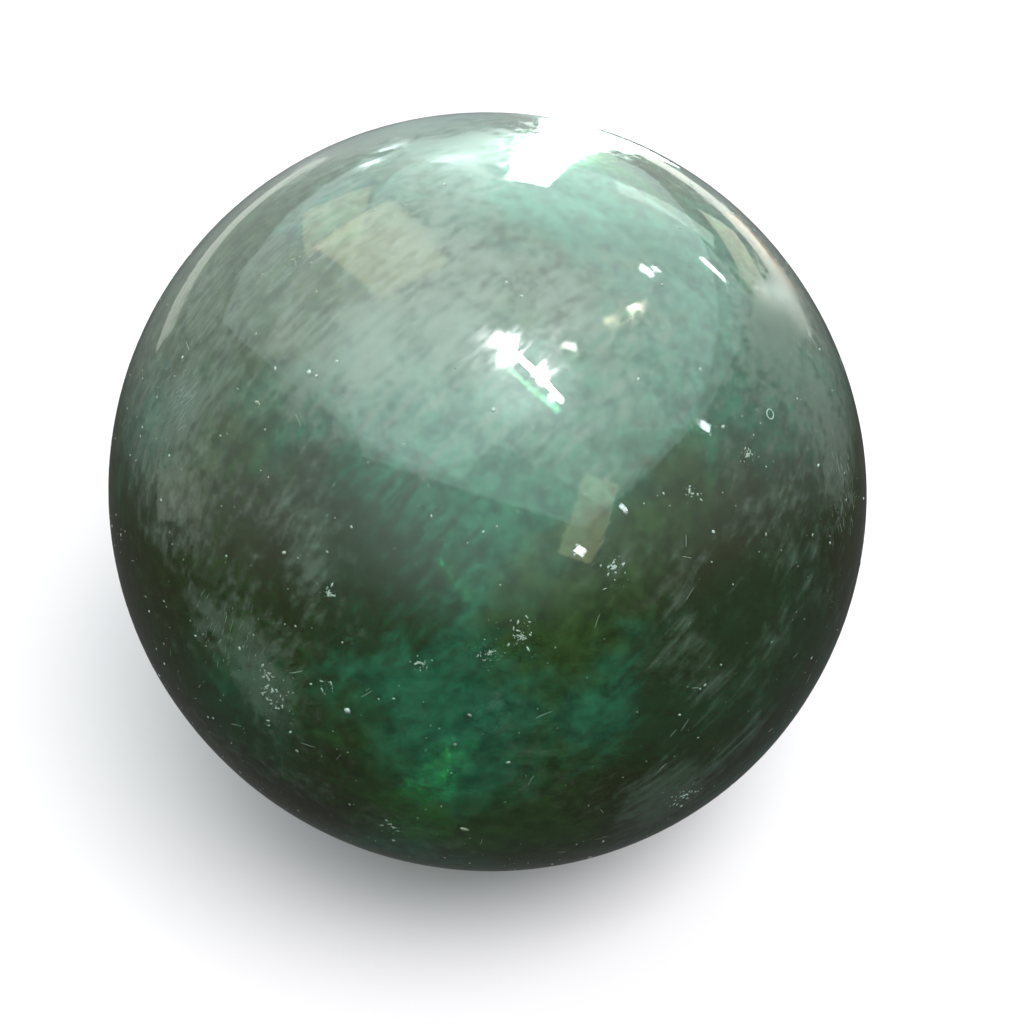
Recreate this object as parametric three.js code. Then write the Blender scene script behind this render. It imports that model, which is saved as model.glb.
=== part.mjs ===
// A hand-blown glass fishing float: a hollow ball of thick bottle-green glass, closed under
// the blowpipe's hole with a gob of hot glass, the seal button, pressed flat with a paddle.
// The ball is sealed, so its air is not modelled here and it is one solid body. It stands on the
// seal button. Millimetres, +Z up, the origin at the middle of the button's flat foot, and -Y
// towards the viewer.
import * as THREE from "three";

// The ball.
const BALL_DIAMETER = 300; // the twelve inch size
const BALL_RADIUS = BALL_DIAMETER / 2;
const SEAT_RADIUS = 24; // the flat round the blowpipe's hole, where the button is fused on
const BALL_SIDES = 80;
const BALL_ROWS = 38;

// A blown ball is never true. Each lobe is a broad rise of the wall, or a flat where it is
// negative, round a direction: azimuth from +X towards +Y and elevation above the level, in
// degrees, and the rise and its spread in millimetres and degrees.
const LOBES = [
  { name: "belly", azimuth: -51, elevation: -26, rise: 0.9, spread: 28 },
  { name: "far shoulder", azimuth: 161, elevation: 38, rise: 0.6, spread: 32 },
  { name: "side flat", azimuth: 11, elevation: 31, rise: -0.8, spread: 26 },
  { name: "low flat", azimuth: -138, elevation: -21, rise: -0.6, spread: 26 },
];

// The seal button.
const SEAL_RADIUS = 30;
const SEAL_THICKNESS = 6.6;
const RIM_HEIGHT = 2.8; // of the button's widest line above the foot
const SHOULDER_RADIUS = 25; // where its top turns from the rim to the seat
const FOOT_RADIUS = 20; // the flat that the paddle left
const SEAL_OVAL = 0.025; // the button is this share wider one way
const SEAL_WAVE = 0.012; // and its outline wanders by this share
const SEAL_SIDES = 56;
const RIM_STEPS = 5;

const FUSE_GAP = 0.3; // between the two bodies, which are one glass in the real float
const SEAT_HEIGHT = SEAL_THICKNESS + FUSE_GAP;
const CENTRE_HEIGHT = SEAT_HEIGHT + Math.sqrt(BALL_RADIUS ** 2 - SEAT_RADIUS ** 2);
const CENTRE = new THREE.Vector3(0, 0, CENTRE_HEIGHT);

const BOTTLE_GREEN = 0x35533f;
const SEAL_GREEN = 0x2c4a3a;

// The unit vector of an azimuth and an elevation in degrees.
function direction(azimuth, elevation) {
  const a = THREE.MathUtils.degToRad(azimuth);
  const e = THREE.MathUtils.degToRad(elevation);
  return new THREE.Vector3(Math.cos(e) * Math.cos(a), Math.cos(e) * Math.sin(a), Math.sin(e));
}

const lobes = LOBES.map((lobe) => ({ ...lobe, towards: direction(lobe.azimuth, lobe.elevation) }));

// How far the wall stands out of the true sphere in a direction from the ball's centre.
function outOfRound(towards) {
  return lobes.reduce((sum, lobe) => {
    const away = THREE.MathUtils.radToDeg(towards.angleTo(lobe.towards));
    return sum + lobe.rise * Math.exp(-((away / lobe.spread) ** 2));
  }, 0);
}

// A profile of (radius, height) points turned about Z.
function turned(profile, sides) {
  return new THREE.LatheGeometry(profile, sides).rotateX(Math.PI / 2);
}

// Moves every vertex of a geometry to what shape returns for it.
function reshape(geometry, shape) {
  const positions = geometry.getAttribute("position");
  const point = new THREE.Vector3();
  for (let i = 0; i < positions.count; i++) {
    point.fromBufferAttribute(positions, i);
    shape(point);
    positions.setXYZ(i, point.x, point.y, point.z);
  }
  geometry.computeVertexNormals();
  return geometry;
}

// The blown ball, with its flat seat underneath.
function ballGeometry() {
  const seatAngle = Math.asin(SEAT_RADIUS / BALL_RADIUS);
  const profile = [new THREE.Vector2(0, SEAT_HEIGHT)];
  for (let row = 0; row < BALL_ROWS; row++) {
    const angle = THREE.MathUtils.lerp(seatAngle, Math.PI, row / BALL_ROWS);
    profile.push(
      new THREE.Vector2(
        BALL_RADIUS * Math.sin(angle),
        CENTRE_HEIGHT - BALL_RADIUS * Math.cos(angle),
      ),
    );
  }
  profile.push(new THREE.Vector2(0, CENTRE_HEIGHT + BALL_RADIUS));
  const towards = new THREE.Vector3();
  const onSeat = SEAT_HEIGHT + FUSE_GAP / 2;
  return reshape(turned(profile, BALL_SIDES), (point) => {
    if (point.z < onSeat) return;
    towards.subVectors(point, CENTRE).normalize();
    point.addScaledVector(towards, outOfRound(towards));
  });
}

// A quarter of the button's rim, as points on an ellipse.
function rimArc(innerRadius, height, startAngle) {
  const arc = new THREE.EllipseCurve(
    innerRadius,
    RIM_HEIGHT,
    SEAL_RADIUS - innerRadius,
    height,
    startAngle,
    startAngle + Math.PI / 2,
  );
  return arc.getPoints(RIM_STEPS);
}

// The seal button, a flattened gob with a round rim, a little oval and wavy in outline.
function sealGeometry() {
  const profile = [
    new THREE.Vector2(0, 0),
    ...rimArc(FOOT_RADIUS, RIM_HEIGHT, -Math.PI / 2),
    ...rimArc(SHOULDER_RADIUS, SEAL_THICKNESS - RIM_HEIGHT, 0).slice(1),
    new THREE.Vector2(0, SEAL_THICKNESS),
  ];
  return reshape(turned(profile, SEAL_SIDES), (point) => {
    const around = Math.atan2(point.y, point.x);
    const outline = 1 + SEAL_OVAL * Math.cos(2 * around) + SEAL_WAVE * Math.cos(5 * around + 1);
    point.x *= outline;
    point.y *= outline;
  });
}

// One named piece of glass.
function glassPiece(name, geometry, color) {
  const glass = new THREE.MeshStandardMaterial({ color, roughness: 0.08, metalness: 0 });
  const mesh = new THREE.Mesh(geometry, glass);
  mesh.name = name;
  return mesh;
}

const glassFloat = new THREE.Group();
glassFloat.add(
  glassPiece("float_ball", ballGeometry(), BOTTLE_GREEN),
  glassPiece("seal_button", sealGeometry(), SEAL_GREEN),
);

export default glassFloat;
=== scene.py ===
"""A hand-blown glass fishing float, dressed around its two CAD solids.

The float is two gathers of bottle glass: a ball blown about a foot across, with thick uneven
walls, and the seal button, a gob pressed over the blowpipe's hole. The ball is a closed hollow
shell with seed bubbles in its wall. Years at sea and in a shed have left a dull film, brown
grime, specks and crusts of dried salt, and hairs on it. The same brown is also laid low on the
ball and under it as painted shade. Lengths are in metres, +Z is up and -Y faces the viewer.
"""

import logging
import math
import random
from collections.abc import Callable, Iterable
from dataclasses import dataclass
from enum import Enum

import bmesh
import bpy
from mathutils import Matrix, Vector, noise


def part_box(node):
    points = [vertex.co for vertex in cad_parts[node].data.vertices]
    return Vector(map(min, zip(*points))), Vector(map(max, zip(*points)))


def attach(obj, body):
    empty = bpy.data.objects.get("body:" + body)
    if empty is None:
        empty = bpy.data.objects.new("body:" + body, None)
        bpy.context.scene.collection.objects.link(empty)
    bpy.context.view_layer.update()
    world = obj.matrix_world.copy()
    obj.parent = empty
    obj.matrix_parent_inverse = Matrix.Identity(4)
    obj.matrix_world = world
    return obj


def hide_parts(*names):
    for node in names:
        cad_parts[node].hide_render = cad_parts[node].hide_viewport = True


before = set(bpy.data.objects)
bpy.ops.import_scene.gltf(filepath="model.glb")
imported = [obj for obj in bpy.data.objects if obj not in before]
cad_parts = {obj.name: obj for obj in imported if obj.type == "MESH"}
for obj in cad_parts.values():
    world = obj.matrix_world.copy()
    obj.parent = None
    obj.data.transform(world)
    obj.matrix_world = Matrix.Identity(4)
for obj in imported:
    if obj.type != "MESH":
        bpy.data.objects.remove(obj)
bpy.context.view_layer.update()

MM = 0.001
Colour = tuple[float, float, float, float]
Triple = tuple[float, float, float]
Span = tuple[float, float]
log = logging.getLogger("glass_float")


class Skin(Enum):
    """The two faces of the blown wall."""

    OUTER = "outer"
    INNER = "inner"


# ---------------------------------------------------------------- small tools


def linear(hex_colour: str) -> Colour:
    """Turns an sRGB colour into Blender's linear RGBA.

    Args:
        hex_colour: six hex digits, such as "35533f".

    Returns:
        The opaque colour in linear light.
    """
    levels = (int(hex_colour[i : i + 2], 16) / 255 for i in (0, 2, 4))
    red, green, blue = (v / 12.92 if v <= 0.04045 else ((v + 0.055) / 1.055) ** 2.4 for v in levels)
    return red, green, blue, 1.0


def add_node(
    tree: bpy.types.NodeTree, kind: str, inputs: dict[str | int, object], **settings: object
) -> bpy.types.Node:
    """Adds a node, sets its options, and fills or links its inputs.

    Args:
        tree: the node tree that gets the node.
        kind: the node's type name without its "ShaderNode".
        inputs: a value or another node's output for each input, by name or index.
        **settings: the node's options.

    Returns:
        The new node.
    """
    node = tree.nodes.new("ShaderNode" + kind)
    for name, value in settings.items():
        setattr(node, name, value)
    for key, value in inputs.items():
        if isinstance(value, bpy.types.NodeSocket):
            tree.links.new(value, node.inputs[key])
        else:
            node.inputs[key].default_value = value
    return node


def empty_material(name: str) -> bpy.types.Material:
    """Makes a material with no nodes in its tree.

    Args:
        name: the material's name.

    Returns:
        The new material.
    """
    material = bpy.data.materials.new(name)
    material.use_nodes = True
    material.node_tree.nodes.clear()
    return material


def towards(azimuth: float, elevation: float) -> Vector:
    """Gives the direction of two angles.

    Args:
        azimuth: degrees from +X towards +Y.
        elevation: degrees above the level.

    Returns:
        The unit vector.
    """
    a, e = math.radians(azimuth), math.radians(elevation)
    return Vector((math.cos(e) * math.cos(a), math.cos(e) * math.sin(a), math.sin(e)))


def fading(angle: float, spread: float) -> float:
    """Returns a bell curve: 1 at no angle, falling away over the spread."""
    return math.exp(-((angle / spread) ** 2))


def join(bm: bmesh.types.BMesh, other: bmesh.types.BMesh) -> None:
    """Adds another mesh to a mesh.

    Args:
        bm: the mesh that grows.
        other: the mesh that is added. It is used up.
    """
    carrier = bpy.data.meshes.new("carrier")
    other.to_mesh(carrier)
    other.free()
    bm.from_mesh(carrier)
    bpy.data.meshes.remove(carrier)


def finished_object(
    name: str, bm: bmesh.types.BMesh, finish: bpy.types.Material
) -> bpy.types.Object:
    """Makes an object of a mesh, smooth shaded and in its finish.

    Args:
        name: the object's name.
        bm: the mesh, in its place. It is used up.
        finish: the material of every face.

    Returns:
        The object, at the origin, unturned and unscaled.
    """
    for face in bm.faces:
        face.smooth = True
    mesh = bpy.data.meshes.new(name)
    bm.to_mesh(mesh)
    bm.free()
    mesh.materials.append(finish)
    piece = bpy.data.objects.new(name, mesh)
    bpy.context.scene.collection.objects.link(piece)
    return piece


# ------------------------------------------------------------------- finishes


@dataclass(frozen=True)
class BottleGlass:
    """Bottle glass: soda-lime glass green with iron, shaped hot and fire polished.

    It gives the eye sharp reflections over a deep green that drifts between teal and olive. A
    film of salt and grime lies on it in brushed streaks, dulls the gloss and catches the light. Its
    brown is also painted shade, where the mesh lays it low on the ball and under it.
    """

    name: str
    teal: str = "5fb189"
    olive: str = "68874a"
    film: str = "bfd0b8"
    # brown of grime, also used as painted shade low on the ball and under it
    grime_and_shade: str = "5b5b38"
    deep: str = "2f7a4c"
    transmission: float = 0.86
    ior: float = 1.52
    absorption: float = 110.0
    streak_mm: float = 3.2
    streak_stretch: float = 8.0
    brush_turn: Triple = (0.0, 1.02, 0.59)
    mottle_mm: float = 15.0
    tint_edges: Span = (0.7, 1.3)
    cloud_mm: float = 7.0
    cloud_edges: Span = (0.36, 0.64)
    cloud_range: Span = (0.6, 1.4)
    dirt_and_shade_edges: Span = (0.75, 1.25)
    dirt_and_shade_share: float = 0.85
    veil_clouds: float = 0.7
    veil_edges: Span = (1.0, 1.5)
    veil_share: float = 0.75
    clean_roughness: float = 0.0
    film_roughness: float = 0.22
    pitting_depth: float = 0.02 * MM

    def build(self) -> bpy.types.Material:
        """Makes the material. It reads the mesh's film and olive attributes, and its grime, which
        also paints shade.

        Returns:
            A material with one Principled shader and plain volume absorption.
        """
        material = empty_material(self.name)
        tree = material.node_tree
        place = add_node(tree, "TexCoord", {}).outputs["Object"]
        brushed = add_node(
            tree,
            "Mapping",
            {"Vector": place, "Rotation": self.brush_turn, "Scale": (1, 1, self.streak_stretch)},
            vector_type="TEXTURE",
        ).outputs["Vector"]
        streaks = add_node(
            tree,
            "TexNoise",
            {
                "Vector": brushed,
                "Scale": 1 / (self.streak_mm * MM),
                "Detail": 4.0,
                "Roughness": 0.62,
            },
        ).outputs["Fac"]
        mottle = add_node(
            tree,
            "TexNoise",
            {"Vector": place, "Scale": 1 / (self.mottle_mm * MM), "Detail": 4.0, "Distortion": 0.9},
        ).outputs["Fac"]
        clouds = add_node(
            tree,
            "TexNoise",
            {"Vector": place, "Scale": 1 / (self.cloud_mm * MM), "Detail": 4.0, "Roughness": 0.68},
        ).outputs["Fac"]

        drift = add_node(tree, "Attribute", {}, attribute_name="olive").outputs["Fac"]
        patchy = add_node(tree, "Math", {0: drift, 1: mottle}, operation="ADD").outputs["Value"]
        tint = add_node(
            tree,
            "MapRange",
            {"Value": patchy, "From Min": self.tint_edges[0], "From Max": self.tint_edges[1]},
            interpolation_type="SMOOTHSTEP",
        ).outputs["Result"]
        blown = add_node(
            tree,
            "Mix",
            {"Factor": tint, "A": linear(self.teal), "B": linear(self.olive)},
            data_type="RGBA",
        ).outputs["Result"]
        shade = add_node(
            tree,
            "MapRange",
            {
                "Value": clouds,
                "From Min": self.cloud_edges[0],
                "From Max": self.cloud_edges[1],
                "To Min": self.cloud_range[0],
                "To Max": self.cloud_range[1],
            },
        ).outputs["Result"]
        glass = add_node(
            tree, "VectorMath", {0: blown, "Scale": shade}, operation="SCALE"
        ).outputs["Vector"]

        # grime, plus painted shade laid low on the ball and under it
        dirt_and_shade = add_node(tree, "Attribute", {}, attribute_name="grime_and_shade").outputs["Fac"]
        rubbed_dirt_and_shade = add_node(
            tree, "Math", {0: dirt_and_shade, 1: streaks}, operation="ADD"
        ).outputs["Value"]
        dirt_and_shade_mask = add_node(
            tree,
            "MapRange",
            {
                "Value": rubbed_dirt_and_shade,
                "From Min": self.dirt_and_shade_edges[0],
                "From Max": self.dirt_and_shade_edges[1],
                "To Max": self.dirt_and_shade_share,
            },
            interpolation_type="SMOOTHSTEP",
        ).outputs["Result"]
        # mixes in the brown: grime, and painted shade low on the ball and under it
        grimy_and_shaded = add_node(
            tree, "Mix", {"Factor": dirt_and_shade_mask, "A": glass, "B": linear(self.grime_and_shade)}, data_type="RGBA"
        ).outputs["Result"]

        haze = add_node(tree, "Attribute", {}, attribute_name="film").outputs["Fac"]
        rubbed_haze = add_node(
            tree, "Math", {0: haze, 1: streaks}, operation="ADD"
        ).outputs["Value"]
        blotchy_haze = add_node(
            tree,
            "Math",
            {0: clouds, 1: self.veil_clouds, 2: rubbed_haze},
            operation="MULTIPLY_ADD",
        ).outputs["Value"]
        veil = add_node(
            tree,
            "MapRange",
            {"Value": blotchy_haze, "From Min": self.veil_edges[0], "From Max": self.veil_edges[1]},
            interpolation_type="SMOOTHSTEP",
        ).outputs["Result"]
        thin_veil = add_node(
            tree, "Math", {0: veil, 1: self.veil_share}, operation="MULTIPLY"
        ).outputs["Value"]
        colour = add_node(
            tree, "Mix", {"Factor": thin_veil, "A": grimy_and_shaded, "B": linear(self.film)}, data_type="RGBA"
        ).outputs["Result"]
        roughness = add_node(
            tree,
            "MapRange",
            {"Value": veil, "To Min": self.clean_roughness, "To Max": self.film_roughness},
        ).outputs["Result"]
        pitting = add_node(
            tree, "Bump", {"Height": streaks, "Distance": self.pitting_depth, "Strength": 1.0}
        ).outputs["Normal"]
        shader = add_node(
            tree,
            "BsdfPrincipled",
            {
                "Base Color": colour,
                "Roughness": roughness,
                "IOR": self.ior,
                "Transmission Weight": self.transmission,
                "Normal": pitting,
            },
            distribution="GGX",
        )
        body = add_node(
            tree, "VolumeAbsorption", {"Color": linear(self.deep), "Density": self.absorption}
        )
        add_node(
            tree,
            "OutputMaterial",
            {"Surface": shader.outputs["BSDF"], "Volume": body.outputs["Volume"]},
        )
        return material


@dataclass(frozen=True)
class DriedSalt:
    """Salt, lime and dust dried on hard: a chalky mineral crust, left by evaporating spray.

    It gives the eye matt, bone white to buff flecks that stay bright where the glass is dark.
    """

    name: str = "dried_salt_and_lime"
    white: str = "9aa89e"
    buff: str = "74785e"
    cloud_mm: float = 23.0
    cloud_edges: Span = (0.42, 0.68)
    grain_mm: float = 0.6  # the real grain is finer, and is drawn this coarse so that it shows
    grain_depth: float = 0.06 * MM
    roughness: float = 0.82

    def build(self) -> bpy.types.Material:
        """Makes the material.

        Returns:
            An opaque material that drifts from white to buff over the ball, with a fine grain.
        """
        material = empty_material(self.name)
        tree = material.node_tree
        place = add_node(tree, "TexCoord", {}).outputs["Object"]
        cloud = add_node(
            tree,
            "TexNoise",
            {"Vector": place, "Scale": 1 / (self.cloud_mm * MM), "Detail": 3.0},
        ).outputs["Fac"]
        share = add_node(
            tree,
            "MapRange",
            {"Value": cloud, "From Min": self.cloud_edges[0], "From Max": self.cloud_edges[1]},
        ).outputs["Result"]
        colour = add_node(
            tree,
            "Mix",
            {"Factor": share, "A": linear(self.white), "B": linear(self.buff)},
            data_type="RGBA",
        ).outputs["Result"]
        grain = add_node(
            tree, "TexNoise", {"Vector": place, "Scale": 1 / (self.grain_mm * MM), "Detail": 2.0}
        ).outputs["Fac"]
        bump = add_node(
            tree, "Bump", {"Height": grain, "Distance": self.grain_depth, "Strength": 1.0}
        ).outputs["Normal"]
        shader = add_node(
            tree,
            "BsdfPrincipled",
            {"Base Color": colour, "Roughness": self.roughness, "Normal": bump},
        )
        add_node(tree, "OutputMaterial", {"Surface": shader.outputs["BSDF"]})
        return material


# ----------------------------------------------------------------- blown ball


@dataclass(frozen=True)
class Patch:
    """A round patch of the ball: a rise or flat of its wall, or a smear on it."""

    azimuth: float
    elevation: float
    amount: float
    spread: float

    def at(self, way: Vector) -> float:
        """Returns the patch's amount in a direction, counted from the ball's centre."""
        middle = towards(self.azimuth, self.elevation)
        return self.amount * fading(math.degrees(way.angle(middle)), self.spread)


def total(patches: Iterable[Patch], way: Vector) -> float:
    """Returns what several patches add up to in a direction."""
    return sum(patch.at(way) for patch in patches)


@dataclass
class BlownBall:
    """The ball: a closed hollow shell with a blowpipe's hole and seed bubbles in its wall.

    A pace says how often a pattern changes over one radius of the ball, and a shift moves it away
    from the others. A bubble's sizes in mm are its radii.
    """

    radius: float = 150 * MM
    seat_radius: float = 24 * MM
    hole_radius: float = 10 * MM
    wall: float = 7 * MM
    wall_wander: float = 1.1 * MM
    wall_ripple: float = 0.22 * MM
    wall_cord: float = 0.012 * MM
    wander_pace: float = 1.8
    ripple_pace: float = 6.5
    fine_ripple_pace: float = 15.0
    fine_ripple_share: float = 0.35
    cord_pace: Triple = (34.0, 34.0, 11.0)
    inner_shift: Triple = (0.5, 1.2, 0.3)
    skin_ripple: float = 0.05 * MM
    skin_cuts: int = 6
    skin_share: float = 0.3
    cut_tolerance: float = 1e-7
    foot_edge: float = -0.9
    seeds: int = 230
    seed_mm: Span = (0.2, 0.62)
    seed_stretch: Span = (1.0, 1.9)
    seed_flatness: float = 0.8
    blisters: int = 6
    blister_mm: Span = (1.0, 1.8)
    blister_oval: float = 0.9
    blister_flatness: float = 0.35
    bubble_depth: Span = (0.35, 0.6)
    olive_pace: float = 2.3
    olive_middle: float = 0.5
    olive_range: float = 1.1
    olive_shift: Triple = (4.0, 1.0, 6.0)
    cloud_pace: float = 3.7
    fine_cloud_pace: float = 9.0
    fine_cloud_share: float = 0.5
    cloud_shift: Triple = (9.0, 2.0, 5.0)
    film_everywhere: float = 0.12
    film_clouds: float = 0.35
    grime_clouds: float = 0.25
    lobes: tuple[Patch, ...] = (
        Patch(-51, -26, 0.9 * MM, 28),
        Patch(161, 38, 0.6 * MM, 32),
        Patch(11, 31, -0.8 * MM, 26),
        Patch(-138, -21, -0.6 * MM, 26),
    )
    films: tuple[Patch, ...] = (
        Patch(-98, 57, 0.35, 20),
        Patch(-80, 58, -0.30, 8),
        Patch(-95, 31, -0.70, 8),
        Patch(-97, 4, -0.70, 8),
        Patch(-21, 72, -0.60, 9),
        Patch(86, -12, -0.60, 12),
        Patch(100, 70, 0.30, 40),
        Patch(-153, 37, 0.55, 8),
        Patch(-128, 14, 0.40, 9),
        Patch(-120, 9, 0.35, 6),
        Patch(-21, 38, 0.40, 12),
        Patch(-24, 22, 0.35, 10),
        Patch(-62, -9, 0.35, 9),
        Patch(-6, 44, 0.60, 7),
    )
    # Brown patches: partly grime, partly painted shade that darkens the ball low down and under it.
    grime_and_shade_patches: tuple[Patch, ...] = (
        Patch(-112, 32, 0.85, 20),
        Patch(-42, 20, 0.85, 24),
        Patch(-152, 10, 0.45, 22),
        Patch(150, 45, 0.40, 30),
        Patch(-5, 2, 0.50, 30),
        Patch(-65, -8, 0.50, 22),
        Patch(-150, -5, 0.70, 24),
        Patch(-118, -8, 0.75, 16),
        Patch(-58, 3, 0.60, 17),
        Patch(95, -10, 0.50, 35),
        Patch(0, -90, 0.60, 30),
    )

    def __post_init__(self) -> None:
        """Takes the seat's height from the CAD ball, and works out the centre."""
        self.seat_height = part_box("float_ball")[0].z
        drop = math.sqrt(self.radius**2 - self.seat_radius**2)
        self.centre = Vector((0, 0, self.seat_height + drop))

    def surface(self, way: Vector, skin: Skin = Skin.OUTER) -> float:
        """Returns a skin's distance from the ball's centre.

        Args:
            way: the direction from the centre.
            skin: which one. The inner one wanders and ripples more, and has fine cords in it.

        Returns:
            The distance, in metres.
        """
        reach = self.radius + total(self.lobes, way)
        if skin is Skin.OUTER:
            return reach + self.skin_ripple * self.rippled(way)
        shifted = way + Vector(self.inner_shift)
        return (
            reach
            - self.wall
            + self.wall_wander * noise.noise(shifted * self.wander_pace)
            + self.wall_ripple * self.rippled(shifted)
            + self.wall_cord * noise.noise(shifted * Vector(self.cord_pace))
        )

    def rippled(self, way: Vector) -> float:
        """Returns the height of a slow ripple with a finer one on it, both about 1 high."""
        slow = noise.noise(way * self.ripple_pace)
        return slow + self.fine_ripple_share * noise.noise(way * self.fine_ripple_pace)

    def open_skin(self, skin: Skin) -> bmesh.types.BMesh:
        """Makes one skin, open at the blowpipe's hole.

        Args:
            skin: which one.

        Returns:
            The skin with its faces pointing away from the ball's centre.
        """
        bm = bmesh.new()
        bmesh.ops.create_icosphere(bm, subdivisions=self.skin_cuts, radius=1.0)
        for vert in bm.verts:
            way = vert.co.normalized()
            vert.co = self.centre + way * self.surface(way, skin)
        level = self.seat_height + (self.wall if skin is Skin.INNER else 0)
        cut = bmesh.ops.bisect_plane(
            bm,
            geom=bm.verts[:] + bm.edges[:] + bm.faces[:],
            dist=self.cut_tolerance,
            plane_co=(0, 0, level),
            plane_no=(0, 0, 1),
            clear_inner=True,
        )
        rim = [item for item in cut["geom_cut"] if isinstance(item, bmesh.types.BMEdge)]
        grown = bmesh.ops.extrude_edge_only(bm, edges=rim)["geom"]
        for vert in (item for item in grown if isinstance(item, bmesh.types.BMVert)):
            flat = Vector((vert.co.x, vert.co.y)).normalized() * self.hole_radius
            vert.co = Vector((flat.x, flat.y, level))
        return bm

    def shell(self) -> bmesh.types.BMesh:
        """Joins both skins round the hole.

        Returns:
            One closed wall.
        """
        bm = self.open_skin(Skin.OUTER)
        inner = self.open_skin(Skin.INNER)
        bmesh.ops.reverse_faces(inner, faces=inner.faces[:])
        join(bm, inner)
        mouths = [edge for edge in bm.edges if edge.is_boundary]
        bmesh.ops.bridge_loops(bm, edges=mouths)
        return bm

    def bubbles(self) -> bmesh.types.BMesh:
        """Scatters fine seeds and a few flat blisters through the wall.

        Returns:
            The bubbles as hollows, with their faces turned to their own middles.
        """
        bm = bmesh.new()
        chance = random.Random(1924)
        for count in range(self.seeds + self.blisters):
            way = Vector([chance.gauss(0, 1) for _ in range(3)]).normalized()
            if way.z < self.foot_edge:
                continue
            if count < self.seeds:
                across = chance.uniform(*self.seed_mm) * MM
                along = across * chance.uniform(*self.seed_stretch)
                size = Vector((along, across, across * self.seed_flatness))
            else:
                across = chance.uniform(*self.blister_mm) * MM
                size = Vector((across, across * self.blister_oval, across * self.blister_flatness))
            depth = self.wall * chance.uniform(*self.bubble_depth)
            middle = self.centre + way * (self.radius + total(self.lobes, way) - depth)
            place = Matrix.Translation(middle) @ way.to_track_quat("Z", "Y").to_matrix().to_4x4()
            shape = place @ Matrix.Diagonal(size.to_4d())
            bmesh.ops.create_icosphere(bm, subdivisions=2, radius=1.0, matrix=shape)
        bmesh.ops.reverse_faces(bm, faces=bm.faces[:])
        return bm

    def weather(self, bm: bmesh.types.BMesh) -> None:
        """Writes where the glass runs olive, where film and grime lie, and where brown paints
        shade.

        The skins share the drift of colour. Film, grime and the painted shade lie on the outer skin
        alone. The painted shade lies low on the ball and under it.

        Args:
            bm: the finished wall, which gets the attributes.
        """
        olive = bm.verts.layers.float.new("olive")
        film = bm.verts.layers.float.new("film")
        grime_and_shade = bm.verts.layers.float.new("grime_and_shade")
        for vert in bm.verts:
            out = vert.co - self.centre
            way = out.normalized()
            drift = noise.noise(way * self.olive_pace + Vector(self.olive_shift))
            vert[olive] = self.olive_middle + self.olive_range * drift
            if out.length > self.radius - self.wall * self.skin_share:
                cloud = noise.noise(way * self.cloud_pace + Vector(self.cloud_shift))
                cloud += self.fine_cloud_share * noise.noise(way * self.fine_cloud_pace)
                haze = self.film_everywhere + self.film_clouds * cloud + total(self.films, way)
                # grime from clouds and patches, with painted shade from the patches low on the ball
                # and under it
                dirt_and_shade = self.grime_clouds * cloud + total(self.grime_and_shade_patches, way)
                vert[film] = min(max(haze, 0), 1)
                vert[grime_and_shade] = min(max(dirt_and_shade, 0), 1)

    def build(self, finish: bpy.types.Material) -> bpy.types.Object:
        """Builds and dresses the ball.

        Args:
            finish: the glass.

        Returns:
            The piece, riding on the float and standing for its CAD solid.
        """
        bm = self.shell()
        join(bm, self.bubbles())
        bmesh.ops.triangulate(bm, faces=[face for face in bm.faces if len(face.verts) > 4])
        self.weather(bm)
        piece = finished_object("blown_ball", bm, finish)
        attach(piece, "root")
        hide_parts("float_ball")
        return piece


# ------------------------------------------------------------------- deposits


@dataclass(frozen=True)
class Spot:
    """A single round mark at one place on the ball."""

    azimuth: float
    elevation: float
    radius: float


@dataclass(frozen=True)
class Crust:
    """A small cluster of dried flecks or strokes at one place on the ball, maybe bare inside."""

    azimuth: float
    elevation: float
    across: float
    flecks: int
    hollow: float = 0.0


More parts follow.
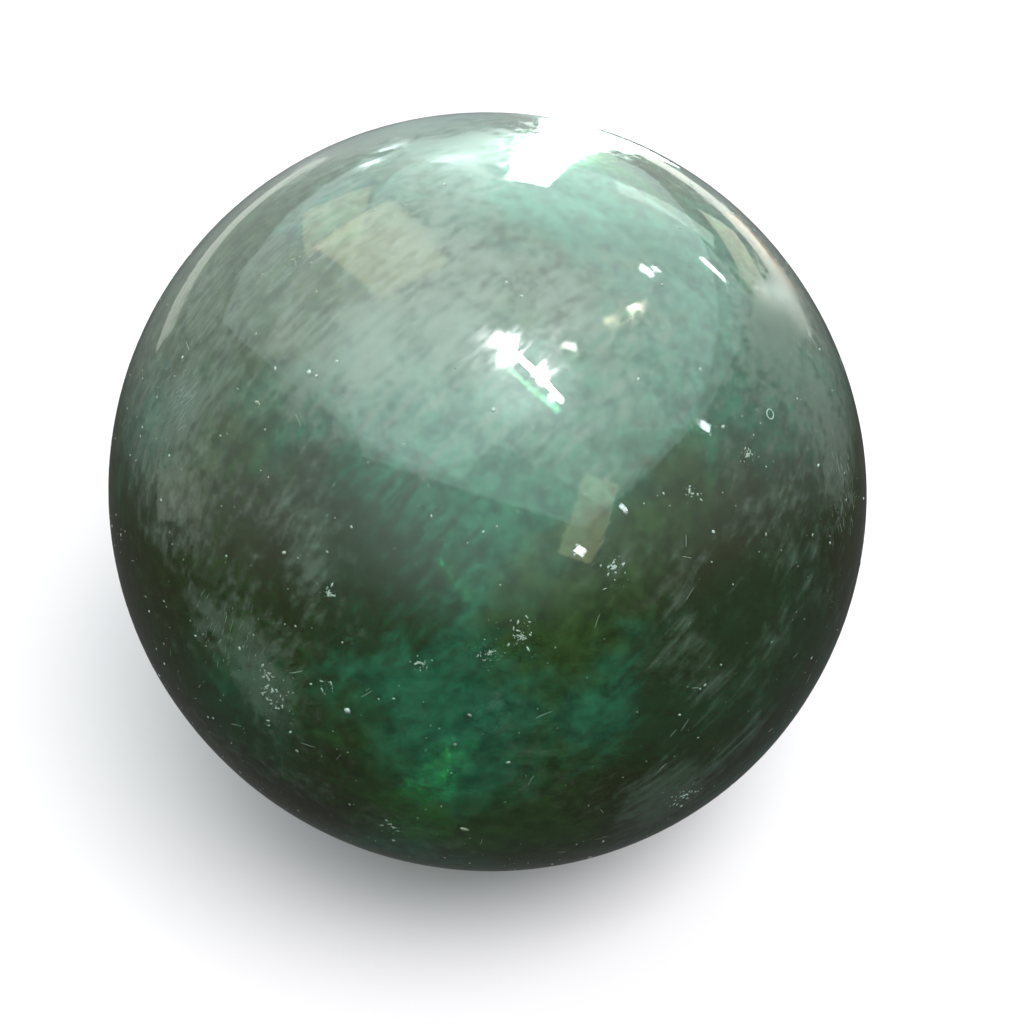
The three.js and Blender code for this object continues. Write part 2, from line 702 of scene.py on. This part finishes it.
@dataclass
class SeaDeposits:
    """What has dried onto the ball: specks, crusts, fine hairs and the rings of burst blisters.

    The sizes of specks and crusts in mm are radii: the finest, and what the biggest adds to it. The
    rarer the big ones are, the higher is the rarity. A turn is a mean and a spread, in radians.
    """

    ball: BlownBall
    specks: int = 1300
    speck_mm: Span = (0.13, 0.5)
    speck_rarity: int = 5
    speck_stretch: Span = (1.0, 1.8)
    speck_flatness: float = 0.35
    unevenness: Span = (0.65, 1.25)
    hairs: int = 120
    hair_length_mm: Span = (1.2, 6.5)
    hair_width_mm: Span = (0.06, 0.17)
    hair_turn: Span = (0.9, 0.7)
    hair_bend: float = 30.0
    crust_mm: Span = (0.05, 0.34)
    crust_rarity: int = 4
    crust_stretch: Span = (1.0, 3.5)
    crust_flatness: float = 0.4
    crust_thinning: float = 2.2
    stroke_spread: float = 0.4
    stroke_length_mm: Span = (0.8, 4.5)
    stroke_width_mm: Span = (0.03, 0.09)
    stroke_turn: Span = (1.35, 0.12)
    dot_oval: float = 0.8
    dot_height: float = 0.25 * MM
    ring_width: float = 0.4 * MM
    crusts: tuple[Crust, ...] = (
        Crust(-86, 24, 7 * MM, 104),
        Crust(-90, 22, 5 * MM, 64),
        Crust(-120, 9, 5 * MM, 90, hollow=0.85),
        Crust(-121, 12, 9 * MM, 70),
        Crust(-113, 27, 4 * MM, 48),
        Crust(-44, 37, 5 * MM, 56),
        Crust(-72, 31, 5 * MM, 72),
        Crust(-57, 37, 3 * MM, 40),
        Crust(-99, 20, 4 * MM, 48),
        Crust(-157, 62, 10 * MM, 88),
        Crust(-104, -12, 6 * MM, 60),
        Crust(-112, 14, 3 * MM, 30, hollow=0.7),
        Crust(40, 12, 9 * MM, 96),
        Crust(110, 20, 8 * MM, 80),
        Crust(-62, -12, 9 * MM, 96),
    )
    brushings: tuple[Crust, ...] = (
        Crust(-153, 38, 13 * MM, 120),
        Crust(-128, 15, 18 * MM, 50),
        Crust(-8, 42, 12 * MM, 90),
        Crust(-24, 20, 20 * MM, 90),
        Crust(60, 30, 16 * MM, 70),
        Crust(140, 5, 18 * MM, 80),
    )
    dots: tuple[Spot, ...] = (
        Spot(-109, 11, 1.3 * MM),
        Spot(-94, -10, 1.9 * MM),
        Spot(-89, 52, 1.2 * MM),
        Spot(-129, 52, 1.1 * MM),
        Spot(-127, 52, 0.7 * MM),
        Spot(-121, 30, 0.9 * MM),
        Spot(-88, 5, 0.8 * MM),
        Spot(20, 35, 1.2 * MM),
        Spot(120, 15, 1.4 * MM),
    )
    rings: tuple[Spot, ...] = (
        Spot(-35, 39, 1.7 * MM),
        Spot(75, 30, 1.4 * MM),
        Spot(160, 5, 1.9 * MM),
    )

    def lay(self, bm: bmesh.types.BMesh, way: Vector, turn: float, bend: float = 0.0) -> None:
        """Lays a small flat shape onto the ball, following its curve.

        Args:
            bm: the shape, flat on the XY plane around the origin.
            way: where it goes, as a direction from the ball's centre.
            turn: how far it is turned, in radians.
            bend: how much its long axis, X, curves to the side, in 1/m.
        """
        frame_here = way.to_track_quat("Z", "Y").to_matrix()
        along = frame_here @ Vector((math.cos(turn), math.sin(turn), 0))
        aside = frame_here @ Vector((-math.sin(turn), math.cos(turn), 0))
        for vert in bm.verts:
            x, y, z = vert.co
            y += bend * x * x
            here = (way + (along * x + aside * y) / self.ball.radius).normalized()
            vert.co = self.ball.centre + here * (self.ball.surface(here) + z)

    def fleck(self, size: Vector, chance: random.Random) -> bmesh.types.BMesh:
        """Makes one angular fleck, half sunk in the surface.

        Args:
            size: its radii, two along the surface and one out of it.
            chance: the source of its uneven outline.

        Returns:
            The fleck, flat on the XY plane around the origin.
        """
        bm = bmesh.new()
        bmesh.ops.create_icosphere(bm, subdivisions=1, radius=1.0)
        for vert in bm.verts:
            vert.co *= chance.uniform(*self.unevenness)
            vert.co = Vector((vert.co.x * size.x, vert.co.y * size.y, vert.co.z * size.z))
        return bm

    def hair(self, length: float, width: float) -> bmesh.types.BMesh:
        """Makes one straight hair along X, tapered to both ends.

        Args:
            length: from end to end.
            width: across its middle.

        Returns:
            The hair, around the origin.
        """
        bm = bmesh.new()
        slim = Matrix.Diagonal((length / 2, width / 2, width / 4, 1))
        shape = slim @ Matrix.Rotation(math.pi / 2, 4, "Y")
        bmesh.ops.create_uvsphere(bm, u_segments=4, v_segments=7, radius=1.0, matrix=shape)
        return bm

    def ring(self, radius: float) -> bmesh.types.BMesh:
        """Makes one ring, the edge of a blister that has burst.

        Args:
            radius: from the ring's centre to the middle of its edge.

        Returns:
            The ring, flat on the XY plane around the origin.
        """
        bm = bmesh.new()
        made = bmesh.ops.create_circle(bm, segments=6, radius=self.ring_width / 2)
        upright = Matrix.Translation((radius, 0, 0)) @ Matrix.Rotation(math.pi / 2, 4, "X")
        bmesh.ops.transform(bm, matrix=upright, verts=made["verts"])
        bmesh.ops.spin(
            bm,
            geom=bm.verts[:] + bm.edges[:],
            cent=(0, 0, 0),
            axis=(0, 0, 1),
            angle=math.tau,
            steps=28,
            use_merge=True,
        )
        bmesh.ops.recalc_face_normals(bm, faces=bm.faces[:])
        return bm

    def everywhere(self, chance: random.Random) -> Vector:
        """Picks a direction anywhere on the ball but under its foot.

        Args:
            chance: the source of the pick.

        Returns:
            The unit vector.
        """
        while True:
            way = Vector([chance.gauss(0, 1) for _ in range(3)]).normalized()
            if way.z > self.ball.foot_edge:
                return way

    def scatter(
        self, count: int, chance: random.Random, one: Callable[[random.Random], bmesh.types.BMesh]
    ) -> bmesh.types.BMesh:
        """Makes many shapes of one kind.

        Args:
            count: how many.
            chance: the source of the scatter.
            one: makes one shape, laid on the ball.

        Returns:
            All of them.
        """
        everything = bmesh.new()
        for _ in range(count):
            join(everything, one(chance))
        return everything

    def speck(self, chance: random.Random) -> bmesh.types.BMesh:
        """Makes one stray speck. Most of them are fine.

        Args:
            chance: the source of its size, outline and place.

        Returns:
            The speck, laid on the ball.
        """
        finest, more = self.speck_mm
        across = (finest + more * chance.random() ** self.speck_rarity) * MM
        along = across * chance.uniform(*self.speck_stretch)
        bm = self.fleck(Vector((along, across, across * self.speck_flatness)), chance)
        self.lay(bm, self.everywhere(chance), chance.uniform(0, math.tau))
        return bm

    def stray_hair(self, chance: random.Random) -> bmesh.types.BMesh:
        """Makes one stray hair, gently curved.

        Args:
            chance: the source of its size, place, turn and curve.

        Returns:
            The hair, laid on the ball.
        """
        length = chance.uniform(*self.hair_length_mm) * MM
        bm = self.hair(length, chance.uniform(*self.hair_width_mm) * MM)
        way, turn = self.everywhere(chance), chance.gauss(*self.hair_turn)
        self.lay(bm, way, turn, chance.uniform(-self.hair_bend, self.hair_bend))
        return bm

    def crusted(self, crust: Crust, chance: random.Random) -> bmesh.types.BMesh:
        """Makes the flecks and short runs of one crust, thinning out from its middle.

        Args:
            crust: where it is and how big.
            chance: the source of its flecks.

        Returns:
            The flecks, laid on the ball.
        """
        everything = bmesh.new()
        middle = towards(crust.azimuth, crust.elevation)
        for _ in range(crust.flecks):
            share = crust.hollow + (1 - crust.hollow) * chance.expovariate(self.crust_thinning)
            far = share * crust.across / self.ball.radius
            off = Vector([chance.gauss(0, 1) for _ in range(3)]).normalized() * far
            way = (middle + off).normalized()
            finest, more = self.crust_mm
            across = (finest + more * chance.random() ** self.crust_rarity) * MM
            along = across * chance.uniform(*self.crust_stretch)
            bm = self.fleck(Vector((along, across, across * self.crust_flatness)), chance)
            self.lay(bm, way, chance.uniform(0, math.tau))
            join(everything, bm)
        return everything

    def brushed(self, crust: Crust, chance: random.Random) -> bmesh.types.BMesh:
        """Makes fine strokes that lie side by side, where something rubbed the salt.

        Args:
            crust: where they are and how far they reach.
            chance: the source of the strokes.

        Returns:
            The strokes, laid on the ball.
        """
        everything = bmesh.new()
        middle = towards(crust.azimuth, crust.elevation)
        spread = self.stroke_spread * crust.across / self.ball.radius
        for _ in range(crust.flecks):
            off = Vector([chance.gauss(0, spread) for _ in range(3)])
            length = chance.uniform(*self.stroke_length_mm) * MM
            bm = self.hair(length, chance.uniform(*self.stroke_width_mm) * MM)
            self.lay(bm, (middle + off).normalized(), chance.gauss(*self.stroke_turn))
            join(everything, bm)
        return everything

    def build(self, finish: bpy.types.Material) -> bpy.types.Object:
        """Builds and dresses the deposits.

        Args:
            finish: the dried salt.

        Returns:
            The piece, riding on the float.
        """
        chance = random.Random(77)
        bm = self.scatter(self.specks, chance, self.speck)
        join(bm, self.scatter(self.hairs, chance, self.stray_hair))
        for crust in self.crusts:
            join(bm, self.crusted(crust, chance))
        for crust in self.brushings:
            join(bm, self.brushed(crust, chance))
        for dot in self.dots:
            size = Vector((dot.radius, dot.radius * self.dot_oval, self.dot_height))
            shape = self.fleck(size, chance)
            self.lay(shape, towards(dot.azimuth, dot.elevation), chance.uniform(0, math.tau))
            join(bm, shape)
        for spot in self.rings:
            shape = self.ring(spot.radius)
            self.lay(shape, towards(spot.azimuth, spot.elevation), 0.0)
            join(bm, shape)
        piece = finished_object("dried_salt_specks", bm, finish)
        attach(piece, "root")
        return piece


# ----------------------------------------------------------------------- seal


@dataclass
class SealButton:
    """The seal: a gob of glass pressed flat over the hole, with its plug inside."""

    rim_height: float = 2.8 * MM
    shoulder_radius: float = 25 * MM
    foot_radius: float = 20 * MM
    radius: float = 30 * MM
    oval: float = 0.025
    wave: float = 0.012
    plug_radius: float = 9.6 * MM
    plug_height: float = 9.0 * MM
    steps: int = 10
    sides: int = 160
    merge_distance: float = 0.01 * MM
    film: float = 0.55
    grime_and_shade: float = 0.5

    def __post_init__(self) -> None:
        """Takes the thickness from the CAD button."""
        self.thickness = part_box("seal_button")[1].z

    def profile(self) -> list[Vector]:
        """Works out half of the button's section.

        Returns:
            Its points from the foot's middle, round the edge and up to the plug's top.
        """
        points = [Vector((0, 0, 0))]
        shoulder_rise = self.thickness - self.rim_height
        for start, inner, height in (
            (-90, self.foot_radius, self.rim_height),
            (0, self.shoulder_radius, shoulder_rise),
        ):
            for step in range(self.steps + 1):
                angle = math.radians(start + 90 * step / self.steps)
                out = inner + (self.radius - inner) * math.cos(angle)
                points.append(Vector((out, 0, self.rim_height + height * math.sin(angle))))
        for step in range(self.steps + 1):
            angle = math.radians(90 * step / self.steps)
            out = self.plug_radius * math.cos(angle)
            points.append(Vector((out, 0, self.thickness + self.plug_height * math.sin(angle))))
        return points

    def build(self, finish: bpy.types.Material) -> bpy.types.Object:
        """Builds and dresses the seal button.

        Args:
            finish: the glass.

        Returns:
            The piece, riding on the float and standing for its CAD solid.
        """
        bm = bmesh.new()
        verts = [bm.verts.new(point) for point in self.profile()]
        edges = [bm.edges.new(pair) for pair in zip(verts, verts[1:])]
        bmesh.ops.spin(
            bm,
            geom=verts + edges,
            cent=(0, 0, 0),
            axis=(0, 0, 1),
            angle=math.tau,
            steps=self.sides,
            use_merge=True,
        )
        bmesh.ops.remove_doubles(bm, verts=bm.verts[:], dist=self.merge_distance)
        film = bm.verts.layers.float.new("film")
        grime_and_shade = bm.verts.layers.float.new("grime_and_shade")
        for vert in bm.verts:
            around = math.atan2(vert.co.y, vert.co.x)
            outline = 1 + self.oval * math.cos(2 * around) + self.wave * math.cos(5 * around + 1)
            vert.co.x *= outline
            vert.co.y *= outline
            vert[film], vert[grime_and_shade] = self.film, self.grime_and_shade
        bmesh.ops.recalc_face_normals(bm, faces=bm.faces[:])
        piece = finished_object("pressed_seal_button", bm, finish)
        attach(piece, "root")
        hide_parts("seal_button")
        return piece


# --------------------------------------------------------------------- studio


@dataclass(frozen=True)
class SoftBox:
    """A rectangular light that spans from one direction to another, as the ball sees it.

    Both directions are an azimuth and an elevation, in degrees. Most of these lights show in the
    glass alone. The key is the other way round: it lights the floor alone.
    """

    name: str
    start: tuple[float, float]
    end: tuple[float, float]
    breadth: float
    radiance: float
    tint: str
    distance: float = 2.2
    only_floor: bool = False

    def build(self, centre: Vector) -> bpy.types.Object:
        """Hangs the light round a centre.

        Args:
            centre: the ball's middle, which the light faces.

        Returns:
            The light's object.
        """
        first, last = towards(*self.start), towards(*self.end)
        middle = (first + last).normalized()
        along = (last - first).normalized()
        length = 2 * self.distance * math.tan(first.angle(last) / 2)
        data = bpy.data.lights.new(self.name, "AREA")
        data.shape = "RECTANGLE"
        data.size, data.size_y = self.breadth, length
        data.color = linear(self.tint)[:3]
        data.energy = self.radiance * math.pi * self.breadth * length
        lamp = bpy.data.objects.new(self.name, data)
        side = along.cross(middle).normalized()
        turn = Matrix((side, along, side.cross(along))).transposed()
        lamp.matrix_world = Matrix.Translation(centre + middle * self.distance) @ turn.to_4x4()
        lamp.visible_camera = False
        lamp.visible_diffuse = self.only_floor
        lamp.visible_glossy = not self.only_floor
        lamp.visible_transmission = not self.only_floor
        bpy.context.scene.collection.objects.link(lamp)
        return lamp

    def light_only(self, lamp: bpy.types.Object, floor: bpy.types.Object) -> None:
        """Keeps a light off everything but the floor.

        Args:
            lamp: the light's object.
            floor: what it may light.
        """
        lit = bpy.data.collections.new(self.name + "_lights")
        lit.objects.link(floor)
        lamp.light_linking.receiver_collection = lit


@dataclass(frozen=True)
class CaughtLight:
    """Light that the round wall gathers onto its own inside, as a hidden lamp close to it."""

    name: str
    azimuth: float
    elevation: float
    off_wall: float
    power: float
    tint: str
    lamp_radius: float = 4 * MM

    def build(self, ball: BlownBall) -> bpy.types.Object:
        """Puts the lamp inside the ball.

        Args:
            ball: the ball that it lights from within.

        Returns:
            The lamp's object, which no mirror or lens shows.
        """
        data = bpy.data.lights.new(self.name, "POINT")
        data.energy = self.power
        data.color = linear(self.tint)[:3]
        data.shadow_soft_size = self.lamp_radius
        lamp = bpy.data.objects.new(self.name, data)
        reach = ball.radius - ball.wall - self.off_wall
        lamp.location = ball.centre + towards(self.azimuth, self.elevation) * reach
        lamp.visible_camera = False
        lamp.visible_glossy = False
        lamp.visible_transmission = False
        bpy.context.scene.collection.objects.link(lamp)
        return lamp


@dataclass(frozen=True)
class Glow:
    """A soft bright place in the air, full within one angle of its middle and gone past another."""

    azimuth: float
    elevation: float
    full: float
    gone: float
    radiance: float
    tint: str = "f0fbff"


@dataclass
class Studio:
    """The floor, the light and the camera."""

    ball: BlownBall
    distance: float = 0.675
    elevation: float = 42.0
    lens: float = 58.5
    sensor: float = 36.0
    aim_right: float = 9.2 * MM
    aim_down: float = 8.0 * MM
    floor_size: float = 12.0
    floor_cells: int = 8
    floor_colour: str = "a29b9b"
    backdrop: str = "f4f4f4"
    dim: float = 0.08
    lamps: tuple[SoftBox, ...] = (
        SoftBox("ceiling_tube", (-66, 83), (-48, 61), 0.045, 450.0, "fcf8ff", 1.9),
        SoftBox("ceiling", (-96, 42), (70, 22), 5.2, 1.35, "def4f4", 2.3),
        SoftBox("ceiling_far", (-60, 52), (108, 14), 7.0, 1.1, "def4f4", 2.4),
        SoftBox("ceiling_left", (-128, 46), (60, 40), 2.6, 0.9, "def4f4", 2.5),
        SoftBox("ceiling_right", (-36, 34), (150, 34), 2.4, 0.8, "f4f6ea", 2.6),
        SoftBox("ceiling_cross", (-168, 36), (20, 30), 1.6, 0.7, "def4f4", 2.7),
        SoftBox("tall_window", (79, 4), (80, 39), 0.32, 40.0, "e6fff8"),
        SoftBox("window_gap", (80, 12), (77, 38), 0.03, 350.0, "fcfcff", 2.1),
        SoftBox("tall_window_foot", (80, -16), (79, 2), 0.4, 16.0, "e6fff8"),
        SoftBox("far_tube", (99, 27), (91, 28), 0.10, 12.0, "eafcff"),
        SoftBox("far_tube_left", (109, 17), (105, 17), 0.09, 7.0, "eafcff"),
        SoftBox("far_tube_low", (104, 11), (100, 11), 0.08, 6.0, "eafcff"),
        SoftBox("near_lamp", (35, 45), (37, 43), 0.12, 24.0, "f4ffff"),
        SoftBox("near_lamp_side", (37, 42), (37, 40), 0.05, 20.0, "f4ffff"),
        SoftBox("side_tube", (43, 24), (38, 20), 0.07, 18.0, "f4ffff"),
        SoftBox("bulb_high", (-17, 70), (-15, 67), 0.07, 30.0, "fbfff0"),
        SoftBox("bulb_warm", (9, 60), (11, 57), 0.07, 20.0, "fff8cc"),
        SoftBox("bulb_warm_side", (18, 53), (20, 51), 0.04, 200.0, "fff8dc"),
        SoftBox("bulb_right", (-10, 30), (-9, 27), 0.08, 22.0, "eef8ff"),
        SoftBox("bulb_low", (-48, 30), (-47, 28), 0.05, 18.0, "eef8ff"),
        SoftBox("cream_wall", (124, 38), (140, 68), 0.7, 2.4, "e6dcb0"),
        SoftBox("cream_wall_low", (118, 26), (132, 40), 0.5, 1.8, "e6dcb0"),
        SoftBox("pale_panel", (65, 26), (50, 14), 0.22, 2.2, "dcf2e6"),
        SoftBox("pale_panel_low", (58, 4), (40, 9), 0.30, 2.0, "e4dfc4"),
        SoftBox("pale_sill", (74, -6), (44, -7), 0.28, 2.0, "eef2e6"),
        SoftBox("pale_sill_left", (106, -4), (138, -7), 0.24, 1.0, "eef2e6"),
        SoftBox("white_door", (48, -5), (40, 9), 0.12, 3.0, "f0f6f6"),
        SoftBox("brown_shelf", (64, -8), (54, -12), 0.30, 1.3, "a97f58"),
        SoftBox("work_light", (-65, 24), (-63, 22), 0.09, 26.0, "f2fbff"),
        SoftBox("cream_board", (-66, 21), (-50, 38), 0.38, 2.2, "e6dcae"),
        SoftBox("dull_board", (166, -12), (182, 2), 0.35, 0.7, "d8e2d2"),
        SoftBox("dull_beam", (184, -9), (176, 46), 0.14, 0.4, "d8e2d2"),
        SoftBox("key", (-55, 46), (-55, 76), 1.6, 18.0, "f8fcff", 2.4, only_floor=True),
    )
    glows: tuple[Glow, ...] = (
        Glow(90, 73, 72, 110, 1.0),
        Glow(90, 73, 30, 80, 1.5),
        Glow(79, 30, 0, 30, 1.6, "c8fff0"),
        Glow(-54, 72, 0, 17, 4.0),
        Glow(-90, 44, 6, 48, 1.4, "b8dcd8"),
    )
    caught: tuple[CaughtLight, ...] = (
        CaughtLight("caught_teal", -93, 14, 70 * MM, 1.1, "80c0ff"),
        CaughtLight("caught_low", -97, -3, 26 * MM, 0.7, "86b8ff"),
        CaughtLight("caught_high", -88, 38, 62 * MM, 0.9, "9ad8ff"),
    )

    def camera(self) -> bpy.types.Object:
        """Makes the camera, which looks down on the ball from the viewer's side.

        Returns:
            The camera's object.
        """
        up_the_view = towards(90, 90 - self.elevation)
        data = bpy.data.cameras.new("viewer")
        data.lens = self.lens
        data.sensor_width = self.sensor
        eye = bpy.data.objects.new("viewer", data)
        eye.location = self.ball.centre + towards(-90, self.elevation) * self.distance
        aim = self.ball.centre + Vector((self.aim_right, 0, 0)) - up_the_view * self.aim_down
        eye.rotation_euler = (aim - eye.location).to_track_quat("-Z", "Y").to_euler()
        bpy.context.scene.collection.objects.link(eye)
        bpy.context.scene.camera = eye
        return eye

    def floor(self) -> bpy.types.Object:
        """Lays the floor, pale to the viewer. The glass shows dim air in its place.

        Returns:
            The floor's object, which is stage and no part of the float.
        """
        bm = bmesh.new()
        cells = self.floor_cells
        bmesh.ops.create_grid(bm, x_segments=cells, y_segments=cells, size=self.floor_size / 2)
        material = empty_material("pale_studio_floor")
        tree = material.node_tree
        shader = add_node(tree, "BsdfDiffuse", {"Color": linear(self.floor_colour)})
        add_node(tree, "OutputMaterial", {"Surface": shader.outputs["BSDF"]})
        floor = finished_object("studio_floor", bm, material)
        floor.visible_diffuse = False
        floor.visible_glossy = False
        floor.visible_transmission = False
        return floor

    def air(self) -> bpy.types.World:
        """Makes the light in the air round the set: dim, with soft glows, and pale to the viewer.

        Returns:
            The scene's world.
        """
        world = bpy.data.worlds.new("studio_air")
        world.use_nodes = True
        tree = world.node_tree
        tree.nodes.clear()
        way = add_node(tree, "TexCoord", {}).outputs["Generated"]
        light = (self.dim, self.dim, self.dim)
        for glow in self.glows:
            near = add_node(
                tree,
                "VectorMath",
                {0: way, 1: towards(glow.azimuth, glow.elevation)},
                operation="DOT_PRODUCT",
            ).outputs["Value"]
            amount = add_node(
                tree,
                "MapRange",
                {
                    "Value": near,
                    "From Min": math.cos(math.radians(glow.gone)),
                    "From Max": math.cos(math.radians(glow.full)),
                    "To Max": glow.radiance,
                },
                interpolation_type="SMOOTHSTEP",
            ).outputs["Result"]
            light = add_node(
                tree,
                "VectorMath",
                {0: linear(glow.tint)[:3], 1: amount, 2: light},
                operation="MULTIPLY_ADD",
            ).outputs["Vector"]

        seen = add_node(tree, "LightPath", {}).outputs["Is Camera Ray"]
        colour = add_node(
            tree, "Mix", {"Factor": seen, "A": light, "B": linear(self.backdrop)}, data_type="RGBA"
        ).outputs["Result"]
        sky = add_node(tree, "Background", {"Color": colour, "Strength": 1.0})
        add_node(tree, "OutputWorld", {"Surface": sky.outputs["Background"]})
        bpy.context.scene.world = world
        return world

    def build(self) -> None:
        """Sets the whole studio up."""
        self.camera()
        floor = self.floor()
        self.air()
        for box in self.lamps:
            lamp = box.build(self.ball.centre)
            if box.only_floor:
                box.light_only(lamp, floor)
        for lamp in self.caught:
            lamp.build(self.ball)
        bpy.context.scene.view_settings.view_transform = "Standard"


def main() -> None:
    """Builds the float and its studio."""
    logging.basicConfig(level=logging.INFO, format="%(name)s: %(message)s")
    ball = BlownBall()
    ball_glass = BottleGlass("bottle_green_soda_lime_glass").build()
    seal_glass = BottleGlass("pressed_seal_glass", film_roughness=0.4, deep="2b6e48").build()
    pieces = (
        ball.build(ball_glass),
        SealButton().build(seal_glass),
        SeaDeposits(ball).build(DriedSalt().build()),
    )
    for piece in pieces:
        log.info("%s: %d faces", piece.name, len(piece.data.polygons))
    Studio(ball).build()


if __name__ == "__main__":
    main()
